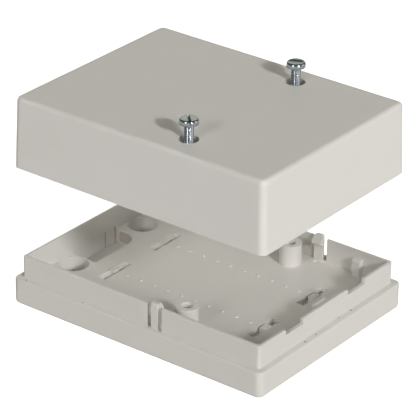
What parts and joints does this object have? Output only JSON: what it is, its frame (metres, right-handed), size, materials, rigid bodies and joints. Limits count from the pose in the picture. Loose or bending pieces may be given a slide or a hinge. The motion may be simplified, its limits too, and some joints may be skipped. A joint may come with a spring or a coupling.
{
  "type": "mounting box",
  "caption": "Shallow rectangular wall-mounting box for cabling: a base tray with cable-tie anchors, a lift-off cover and pan-head cover screws.",
  "frame": {"origin": "middle of the base's back face, which lies on the wall or table", "axes": "+X along the box's long side, +Y across it, +Z out of the wall, towards the cover"},
  "size_m": [0.13, 0.1, 0.1047],
  "materials": {
    "base_plastic": "satin moulded, warm light grey",
    "cover_plastic": "satin moulded, warm light grey",
    "zinc_plated_steel": "bright zinc, faintly blue"
  },
  "bodies": {
    "base": {"base": "base_plastic"},
    "cover": {"cover": "cover_plastic"},
    "front_screw": {"front_screw": "zinc_plated_steel"},
    "rear_screw": {"rear_screw": "zinc_plated_steel"}
  },
  "joints": [
    {"name": "cover_lift", "type": "slide", "parent": "base", "child": "cover", "axis": [0, 0, 1], "range_m": [-0.0515, 0]},
    {"name": "front_screw_lift", "type": "slide", "parent": "cover", "child": "front_screw", "axis": [0, 0, 1], "range_m": [-0.01185, 0.02]},
    {"name": "rear_screw_lift", "type": "slide", "parent": "cover", "child": "rear_screw", "axis": [0, 0, 1], "range_m": [-0.01185, 0.02]}
  ]
}
